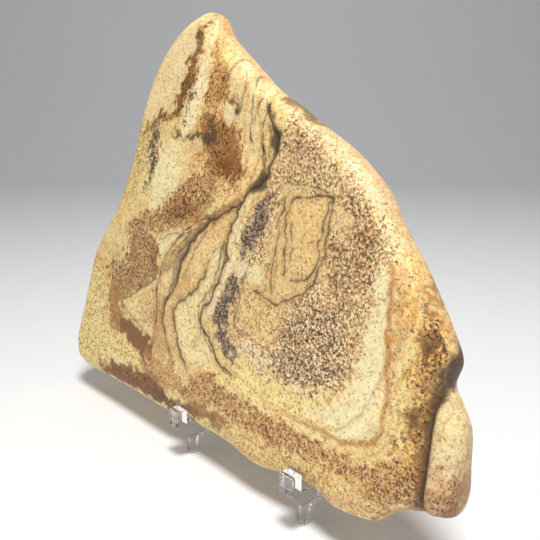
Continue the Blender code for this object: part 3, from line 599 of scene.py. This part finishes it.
# Bands that also colour the rim: the dark veins, the notch (partly painted shade in its hollow), the
# groove's stain, painted shade down the toe's outer side, and the toe's blushed foot.
LATE_BANDS = (
    ((84, 66, 50), 0.85, 1.2, 0.6, 0.6,
     ((-4, 122.8, 0.4), (2, 119.6, 1.1), (8, 116.6, 1.4), (14, 113.4, 1.1), (20, 110.4, 0.4))),
    ((118, 78, 52), 0.75, 1, 0.95, 0.3,
     ((-119, 8, 0.8), (-117.8, 24, 1.2), (-114.2, 40, 1.2), (-111, 54.6, 1.2), (-103.2, 67, 1.3),
      (-95.6, 77.8, 1.3), (-89.9, 88.5, 1.2), (-85.9, 101.3, 1.2), (-83, 115.3, 1.2), (-79, 127.6, 1),
      (-74, 135, 0.6))),
    ((196, 148, 102), 0.45, 1.6, 0.4, 0.1,
     ((-44, 153, 0.8), (-39, 147, 1.6), (-32, 141, 1.6), (-20, 133, 1), (-9, 126, 0.8))),
    # The notch: its dark brown is partly the stone's colour and partly painted shade in the hollow.
    ((66, 48, 38), 0.95, 1.6, 0.3, 0.2,
     ((77, 53, 2.2), (76.2, 49.6, 3.8), (74.4, 46, 2.5), (72.4, 42.2, 1.2))),
    ((104, 72, 54), 0.85, 1.2, 0.3, 0, ((72.6, 43, 0.9), (72, 36, 0.6), (72.3, 26, 0.6), (72.4, 12, 0.9))),
    ((188, 142, 116), 0.7, 4, 0.7, 0.1, ((74, 12, 3), (79, 14, 3.4), (82, 20, 1.6))),
    ((112, 76, 60), 0.8, 2.4, 0.6, 0.2, ((78, 10, 0.8), (81.4, 13, 1.8), (83, 18, 1.8), (82.6, 23, 0.8))),
    ((150, 108, 88), 0.7, 3, 0.7, 0.1, ((60, 2, 1), (66, 7, 1.6), (72, 10, 1.6))),
    # Painted shade down the toe's outer side, which faces away from the light.
    ((152, 116, 84), 0.6, 2, 0.3, 0, ((83, 36, 0.8), (84, 27, 1), (84, 18, 1))),
)

# Dark pods where the main seam opens: tint and corners.
PODS = (
    ((48, 40, 32), ((0.2, 112), (3.6, 109), (3.8, 105.4), (1.4, 102), (-1, 106))),
    ((70, 58, 44), ((-3.2, 117.4), (-0.8, 114.8), (-0.6, 112.4), (-2.6, 114.2))),
    ((72, 62, 50), ((-8.6, 89.6), (-5.4, 95.8), (-2, 98.4), (0.4, 95), (-0.4, 90.2), (-5, 89))),
)
POD_SOFTNESS, POD_COVER, POD_SPECKS = 0.7, 0.92, (0.2, 0.3)

# The middle of the rim is rosier and darker: partly the rim's own colour, partly painted shade where the
# rim turns away from the light. Half width of that belt, softness, cover, tint and specks.
BELT, BELT_SOFTNESS, BELT_COVER = 2.6, 1.6, 0.3
BELT_TINT_AND_SHADE, BELT_SPECKS = (186, 142, 104), (0.3, 0.05)

# The layers run through the stone a little aslant, so the back shows them shifted. Swirls push them
# aside, and patches with a soft edge are frayed as well and break up into crumbs.
SLANT = (5.0, -4.0)
SWIRLS = ((9.0, 1.4, 3.0), (2.6, 0.8, 7.0))  # size, reach and start of each
FRAYS = ((4.0, 2.6, 11.0), (1.7, 2.4, 17.0))
CRISP = 1.05  # patches with softer edges than this are frayed and crumbly
CRUMB_SIZES, CRUMB_START = (1.5, 1.9, 1.5), 9
CRUMBLE, CRUMB_FROM, CRUMB_RANGE = 1.5, 0.28, 0.44
SMOOTH_SHARE, BROKEN_SHARE = 0.35, 0.65
DRIFT_SIZES, DRIFT_SWING = (14, 20, 14), 0.9  # the plain ground drifts from honey to butter


def strewn(places, heights, size, reach, start):
    """How far each place is pushed aside by soft swirls of that size."""
    pushed = [noise.noise_vector(Vector((u / size + start, w / size, n / size)))
              for (u, w), n in zip(places, heights)]
    return np.array(pushed)[:, :2] * reach


def clouds(places, heights, sizes, start=0):
    """Soft clouds, -1 to 1, of those sizes along U, up W and through the stone."""
    return np.array([noise.noise(Vector((u / sizes[0], w / sizes[1], n / sizes[2] + start)))
                     for (u, w), n in zip(places, heights)])


def soft_edge(distance, softness):
    """1 well inside, 0 well outside, easing across the edge."""
    t = np.clip(0.5 - distance / softness / 2, 0, 1)
    return t * t * (3 - 2 * t)


depth_share = (THICK / 2 - heights) / THICK
laid = places + depth_share[:, None] * np.array(SLANT)
for swirl in SWIRLS:
    laid = laid + strewn(places, heights, *swirl)
frayed = laid
for fray in FRAYS:
    frayed = frayed + strewn(places, heights, *fray)
crumbs = clouds(places, heights, CRUMB_SIZES, CRUMB_START)
buttery = np.clip(0.5 + DRIFT_SWING * clouds(places, heights, DRIFT_SIZES), 0, 1)[:, None]
ground = np.array(linear(*BUTTER)) * buttery + np.array(linear(*HONEY)) * (1 - buttery)
brown_specks = np.full(len(laid), FEW_BROWN)
slate_specks = np.zeros(len(laid))


def lay(distance, softness, cover, tint, brown, slate):
    """Lays one colour with its specks. Soft edges break up into crumbs as they fade."""
    mask = soft_edge(distance, softness)
    if softness > CRISP:
        broken = mask + CRUMBLE * crumbs * np.sqrt(mask * (1 - mask))
        mask = SMOOTH_SHARE * mask + BROKEN_SHARE * np.clip((broken - CRUMB_FROM) / CRUMB_RANGE, 0, 1)
    ground[:] += cover * mask[:, None] * (np.array(linear(*tint)) - ground)
    brown_specks[:] += mask * (brown - brown_specks)
    slate_specks[:] += mask * (slate - slate_specks)


def lay_band(spots, tint, cover, softness, brown, slate, line):
    """Lays a band whose half width changes along its line."""
    nearest = np.full(len(spots), np.inf)
    for start, end in along_lines([line]):
        distance, share = to_segment(spots, start[:2], end[:2])
        nearest = np.minimum(nearest, distance - start[2] - share * (end[2] - start[2]))
    lay(nearest, softness, cover, tint, brown, slate)


for tint, cover, softness, brown, slate, corners in PATCHES:
    spots = frayed if softness > CRISP else laid
    lay(to_loop(spots, np.array(corners, float)), softness, cover, tint, brown, slate)
for band in BANDS:
    lay_band(frayed if band[2] > CRISP else laid, *band)
for tint, corners in PODS:
    lay(to_loop(laid, np.array(corners, float)), POD_SOFTNESS, POD_COVER, tint, *POD_SPECKS)
# Painted shade and rosier colour round the middle of the rim.
lay(np.abs(heights) - BELT, BELT_SOFTNESS, BELT_COVER, BELT_TINT_AND_SHADE, *BELT_SPECKS)
for band in LATE_BANDS:
    lay_band(laid, *band)

# Thin layers, darker and paler by turns, outside the core. They fade out away from it, and most of all
# at the left. Where specks crowd, the ground between them is pale.
LAYER_SIZE, FINE_LAYER_SIZE, FINE_LAYER_SHARE = 1.5, 0.75, 0.7
FINE_LAYER_SHIFT = 4.5
LAYERS_START, LAYERS_RISE = 2, 4  # where outside the core they begin, and over what distance
LAYERS_END, LAYERS_FALL = 36, 16
LAYER_STRENGTH = 0.75
FOLD_U, FOLD_W, FOLD_REACH = -12, 78, 40  # left of this U they fade with the distance from this W
FOLD_MOST, FOLD_LEAST = 1.25, 0.15
FADED_U, FADED_W, FADED = -22, 60, 0.3  # further left and higher than this they are faint
RUST_GAIN, RUST_LOSS, RUST_MOST = 1.9, 0.1, 0.65
PALE_GAIN, PALE_MOST = 0.4, 0.12
BRIGHTER, BRIGHTER_WITH_SPECKS = 1.06, 0.85

from_core = to_loop(laid, np.array(CORE, float))
layers = np.array([noise.noise(Vector((d / LAYER_SIZE, 0.5, 0.5)))
                   + FINE_LAYER_SHARE * noise.noise(Vector((d / FINE_LAYER_SIZE, FINE_LAYER_SHIFT, 0.5)))
                   for d in from_core])
layers *= (np.clip((from_core - LAYERS_START) / LAYERS_RISE, 0, 1)
           * np.clip((LAYERS_END - from_core) / LAYERS_FALL, 0, 1))
left_fade = FOLD_MOST - np.abs(laid[:, 1] - FOLD_W) / FOLD_REACH * (laid[:, 0] < FOLD_U)
layers *= LAYER_STRENGTH * np.clip(left_fade, FOLD_LEAST, 1)
layers *= np.where((laid[:, 0] < FADED_U) & (laid[:, 1] > FADED_W), FADED, 1)
rusty = np.clip(RUST_GAIN * layers - RUST_LOSS, 0, RUST_MOST)[:, None]
ground = ground + rusty * (np.array(linear(*LAYER)) - ground)
paler = BRIGHTER + np.clip(-PALE_GAIN * layers, 0, PALE_MOST) + BRIGHTER_WITH_SPECKS * brown_specks
ground = ground * paler[:, None]

# Darkness and stain along the seams and hairlines, on the front alone.
SEAM_DARK, SEAM_NARROW = 0.95, 0.9
HAIRLINE_NARROW = 0.8
SEAM_STAIN_REACH, HAIRLINE_STAIN_REACH, STAIN_STRENGTH = 1.6, 1.3, 0.5
UNEVEN_SIZE, UNEVEN_SWING, UNEVEN_MEAN, UNEVEN_START = 3.2, 0.9, 1.05, 2
FRONT_FROM, FRONT_RISE = 0.5, 2  # height from the middle of the slab where they begin to show
PALE_GRAIN_GAIN, PALE_GRAIN_LOSS, PALE_GRAIN_LEAST = 2.2, 0.15, 0.1  # pale grains show on pale ground

on_front = np.clip((heights - FRONT_FROM) / FRONT_RISE, 0, 1)
uneven = [UNEVEN_MEAN + UNEVEN_SWING * noise.noise(Vector((u / UNEVEN_SIZE, w / UNEVEN_SIZE, UNEVEN_START)))
          for u, w in places]
uneven = np.array(uneven)
darkness = np.zeros(len(places))
stain = np.zeros(len(places))
for start, end in along_lines(grooves):
    distance, share = to_segment(places, start[:2], end[:2])
    half = start[2] + share * (end[2] - start[2])
    darkness = np.maximum(darkness, SEAM_DARK * np.exp(-((distance / half / SEAM_NARROW) ** 2)))
    stain = np.maximum(stain, np.exp(-((distance / SEAM_STAIN_REACH) ** 2)))
for half, dark, line in hairlines:
    for start, end in along_lines([line]):
        distance, _ = to_segment(places, start, end)
        line_dark = np.exp(-((distance / (HAIRLINE_NARROW * half * uneven)) ** 2))
        darkness = np.maximum(darkness, np.clip(dark * uneven, 0, 1) * line_dark)
        stain = np.maximum(stain, dark * np.exp(-((distance / HAIRLINE_STAIN_REACH) ** 2)))
darkness = darkness * on_front
stain = np.clip(STAIN_STRENGTH * stain * on_front * uneven, 0, 1)[:, None]
ground = np.minimum(ground, ground + stain * (np.array(linear(*STAIN)) - ground))
pale_grains = np.clip(PALE_GRAIN_GAIN * ground[:, 1] - PALE_GRAIN_LOSS, PALE_GRAIN_LEAST, 1)

mesh = bpy.data.meshes.new("jasper_slab_polished")
mesh.from_pydata(np.stack([places[:, 0], -heights, places[:, 1]], axis=1) * MM, [], faces.tolist())
mesh.update()
facing = bmesh.new()
facing.from_mesh(mesh)
bmesh.ops.recalc_face_normals(facing, faces=facing.faces)
facing.to_mesh(mesh)
facing.free()
mesh.shade_smooth()
paint = mesh.attributes.new("ground", "FLOAT_COLOR", "POINT")
paint.data.foreach_set("color", np.concatenate([ground, np.ones((len(ground), 1))], axis=1).ravel())
for name, amounts in (("brown_specks", brown_specks), ("slate_specks", slate_specks), ("seams", darkness),
                      ("pale_grains", pale_grains)):
    mesh.attributes.new(name, "FLOAT", "POINT").data.foreach_set("value", amounts)

slab = bpy.data.objects.new("jasper_slab_polished", mesh)
bpy.context.scene.collection.objects.link(slab)
slab.rotation_euler.x = -LEAN
bpy.context.view_layer.update()
corners = np.array([slab.matrix_world @ v.co for v in mesh.vertices])
solid_low, solid_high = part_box("jasper_slab")
slab.location = (solid_low + solid_high) / 2 - Vector((corners.min(axis=0) + corners.max(axis=0)) / 2)
bpy.context.view_layer.update()
mesh.transform(slab.matrix_world)
slab.matrix_world.identity()

# Grains that lie evenly in the stone: size in metres, how finely broken, softness of edge, and the
# cloudiness above which they show.
HONEY_CLOUDS = (0.003, 5.0, 0.2, 0.48)
HONEY_CLOUD_TINT, HONEY_CLOUD_STRENGTH = (198, 134, 52), 0.5
PALE_GRAINS = (0.0009, 5.0, 0.06, 0.51)
PALE_GRAIN_TINT, PALE_GRAIN_STRENGTH = (255, 250, 198), 0.7

# Grains that follow the specks: the same, with the cloudiness for no specks and for many, then tint and
# strength.
BROWN_GRAINS = (
    (0.001, 5.0, 0.05, 0.56, 0.49, (194, 124, 36), 0.7),
    (0.0016, 5.0, 0.05, 0.61, 0.49, (148, 90, 26), 0.68),
    (0.0009, 5.0, 0.03, 0.64, 0.49, (80, 46, 12), 0.92),
    (0.0007, 4.0, 0.03, 0.66, 0.52, (44, 28, 10), 0.92),
)
PITTED = 2  # which of the brown grains are a little sunk
SLATE_GRAINS = (
    (0.0014, 5.0, 0.03, 0.74, 0.49, (80, 74, 74), 0.75),
    (0.0009, 4.0, 0.03, 0.72, 0.49, (40, 34, 36), 0.92),
)
BLACK_DOTS = ((0.0014, 4.0, 0.02, 0.7, 0.63, (36, 26, 10), 0.9),)
SEAM_TINT = (66, 44, 28)
GRAIN_ROUGHNESS = 0.75
STONE_INDEX, STONE_SHEEN = 1.54, 0.45
POLISH_MARKS, POLISH_DETAIL = 420.0, 5.0  # marks per metre
POLISH_FROM, POLISH_FULL = 0.3, 0.7
POLISHED_ROUGHNESS, DULL_ROUGHNESS = 0.42, 0.6
PIT_STRENGTH, PIT_DEPTH = 0.25, 0.00006
RIPPLE_STRENGTH, RIPPLE_HEIGHT = 0.15, 0.0002

stone, tree, shader = new_material("polished_picture_jasper")
place = add(tree, "TexCoord").outputs["Object"]


def attribute(name):
    return add(tree, "Attribute", attribute_name=name).outputs["Color" if name == "ground" else "Fac"]


def level(amount, least, most):
    return add(tree, "MapRange", Value=amount, To_Min=least, To_Max=most).outputs["Result"]


def reckon(operation, first, second):
    """One sum in the shader, of a socket with a socket or a number."""
    node = add(tree, "Math", operation=operation)
    tree.links.new(first, node.inputs[0])
    if isinstance(second, bpy.types.NodeSocket):
        tree.links.new(second, node.inputs[1])
    else:
        node.inputs[1].default_value = second
    return node.outputs["Value"]


def grains(size, detail, softness, threshold):
    """A mask of grains of that size, where a cloudy noise rises over the threshold."""
    cloud = add(tree, "TexNoise", Vector=place, Scale=1 / size, Detail=detail, Roughness=GRAIN_ROUGHNESS)
    above = reckon("SUBTRACT", cloud.outputs["Fac"], threshold)
    return add(tree, "MapRange", Value=above, From_Max=softness, clamp=True).outputs["Result"]


def tinted(colour, mask, tint, strength=1.0, blend="DARKEN"):
    """The colour with a tint laid over it where the mask says. DARKEN leaves darker places as they are."""
    mixed = add(tree, "Mix", data_type="RGBA", blend_type=blend)
    tree.links.new(reckon("MULTIPLY", mask, strength), mixed.inputs["Factor"])
    tree.links.new(colour, mixed.inputs["A"])
    mixed.inputs["B"].default_value = (*linear(*tint), 1)
    return mixed.outputs["Result"]


colour = tinted(attribute("ground"), grains(*HONEY_CLOUDS), HONEY_CLOUD_TINT, HONEY_CLOUD_STRENGTH)
pale = reckon("MULTIPLY", grains(*PALE_GRAINS), attribute("pale_grains"))
colour = tinted(colour, pale, PALE_GRAIN_TINT, PALE_GRAIN_STRENGTH, "MIX")
masks = []
for name, kinds in (("brown_specks", BROWN_GRAINS), ("slate_specks", SLATE_GRAINS),
                    ("brown_specks", BLACK_DOTS)):
    amount = attribute(name)
    for size, detail, softness, few, crowded, tint, strength in kinds:
        masks.append(grains(size, detail, softness, level(amount, few, crowded)))
        colour = tinted(colour, masks[-1], tint, strength)
colour = tinted(colour, attribute("seams"), SEAM_TINT)
tree.links.new(colour, shader.inputs["Base Color"])
finish = add(tree, "TexNoise", Vector=place, Scale=POLISH_MARKS, Detail=POLISH_DETAIL)
gloss = add(tree, "MapRange", Value=finish.outputs["Fac"], From_Min=POLISH_FROM, From_Max=POLISH_FULL,
            To_Min=POLISHED_ROUGHNESS, To_Max=DULL_ROUGHNESS)
tree.links.new(gloss.outputs["Result"], shader.inputs["Roughness"])
pits = add(tree, "Bump", Height=masks[PITTED], Strength=PIT_STRENGTH, Distance=PIT_DEPTH, invert=True)
ripple = add(tree, "Bump", Height=finish.outputs["Fac"], Strength=RIPPLE_STRENGTH, Distance=RIPPLE_HEIGHT,
             Normal=pits.outputs["Normal"])
tree.links.new(ripple.outputs["Normal"], shader.inputs["Normal"])
shader.inputs["IOR"].default_value = STONE_INDEX
shader.inputs["Specular IOR Level"].default_value = STONE_SHEEN
mesh.materials.append(stone)
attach(slab, "root")
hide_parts("jasper_slab")

# The setting. A pale paper sweep that rises behind, painted greyer further back and up the rise as painted
# shade, under a broad soft light above and in front. A weaker light brightens the paper behind, and a pale
# fill comes from all round.
SWEEP_NEAR, SWEEP_BACK, SWEEP_HIGH, SWEEP_WIDE = -1.2, 0.9, 1.6, 2.4
SWEEP_BEND, BEND_STEPS = 0.5, 16
SWEEP_DROP = 0.0001  # just under the easel's feet
NEAR_TINT, SHADED_BACK_TINT = (243, 243, 243), (231, 232, 233)
TINT_REACH = 1.3
PAPER_ROUGHNESS = 0.8
FILL = 0.31
CAMERA_PLACE = (0.1744, -0.1572, 0.12936)
CAMERA_TURN, CAMERA_TILT = math.radians(46.93), math.radians(90 - 14.17)
SENSOR, FOCAL_PIXELS, PICTURE_PIXELS = 36, 640, 540
LIGHTS = (  # name, place, what it is aimed at, width and power
    ("key", (0.18, -0.13, 0.68), (0, 0, 0.07), 0.2, 4.4),
    ("backdrop", (-0.4, 0.38, 0.95), (-0.8, 0.76, 0.1), 0.5, 0.8),
)

profile = [(SWEEP_NEAR, 0.0)]
for step in range(BEND_STEPS + 1):
    turn = math.pi / 2 * step / BEND_STEPS
    profile.append((SWEEP_BACK + SWEEP_BEND * math.sin(turn), SWEEP_BEND * (1 - math.cos(turn))))
profile.append((SWEEP_BACK + SWEEP_BEND, SWEEP_HIGH))
sweep_mesh = bpy.data.meshes.new("sweep")
sweep_mesh.from_pydata(
    [(x, y, z) for y, z in profile for x in (-SWEEP_WIDE, SWEEP_WIDE)], [],
    [(2 * i, 2 * i + 1, 2 * i + 3, 2 * i + 2) for i in range(len(profile) - 1)],
)
sweep_mesh.shade_smooth()
sweep = bpy.data.objects.new("sweep", sweep_mesh)
sweep.rotation_euler.z = CAMERA_TURN
sweep.location.z = -SWEEP_DROP
bpy.context.scene.collection.objects.link(sweep)
paper, tree, shader = new_material("sweep_paper")
split = add(tree, "SeparateXYZ", Vector=add(tree, "TexCoord").outputs["Object"])
# Painted shade: the paper darkens from the near tint to the back tint over TINT_REACH back along Y.
ramp = add(tree, "ValToRGB")
reach = add(tree, "MapRange", Value=split.outputs["Y"], From_Min=0.0, From_Max=TINT_REACH)
tree.links.new(reach.outputs["Result"], ramp.inputs["Fac"])
ramp.color_ramp.elements[0].color = (*linear(*NEAR_TINT), 1)
ramp.color_ramp.elements[1].color = (*linear(*SHADED_BACK_TINT), 1)
tree.links.new(ramp.outputs["Color"], shader.inputs["Base Color"])
shader.inputs["Roughness"].default_value = PAPER_ROUGHNESS
sweep_mesh.materials.append(paper)

for name, spot, target, width, watts in LIGHTS:
    lamp = bpy.data.lights.new(name, "AREA")
    lamp.shape = "DISK"
    lamp.size = width
    lamp.energy = watts
    made = bpy.data.objects.new(name, lamp)
    made.location = spot
    made.rotation_euler = (Vector(target) - Vector(spot)).to_track_quat("-Z", "Y").to_euler()
    bpy.context.scene.collection.objects.link(made)
world = bpy.data.worlds.new("studio")
bpy.context.scene.world = world
world.use_nodes = True
world.node_tree.nodes["Background"].inputs["Color"].default_value = (1, 1, 1, 1)
world.node_tree.nodes["Background"].inputs["Strength"].default_value = FILL
bpy.context.scene.view_settings.view_transform = "Standard"

camera = bpy.data.objects.new("camera", bpy.data.cameras.new("camera"))
camera.data.sensor_width = SENSOR
camera.data.lens = SENSOR * FOCAL_PIXELS / PICTURE_PIXELS
camera.location = CAMERA_PLACE
camera.rotation_euler = (CAMERA_TILT, 0, CAMERA_TURN)
bpy.context.scene.collection.objects.link(camera)
bpy.context.scene.camera = camera
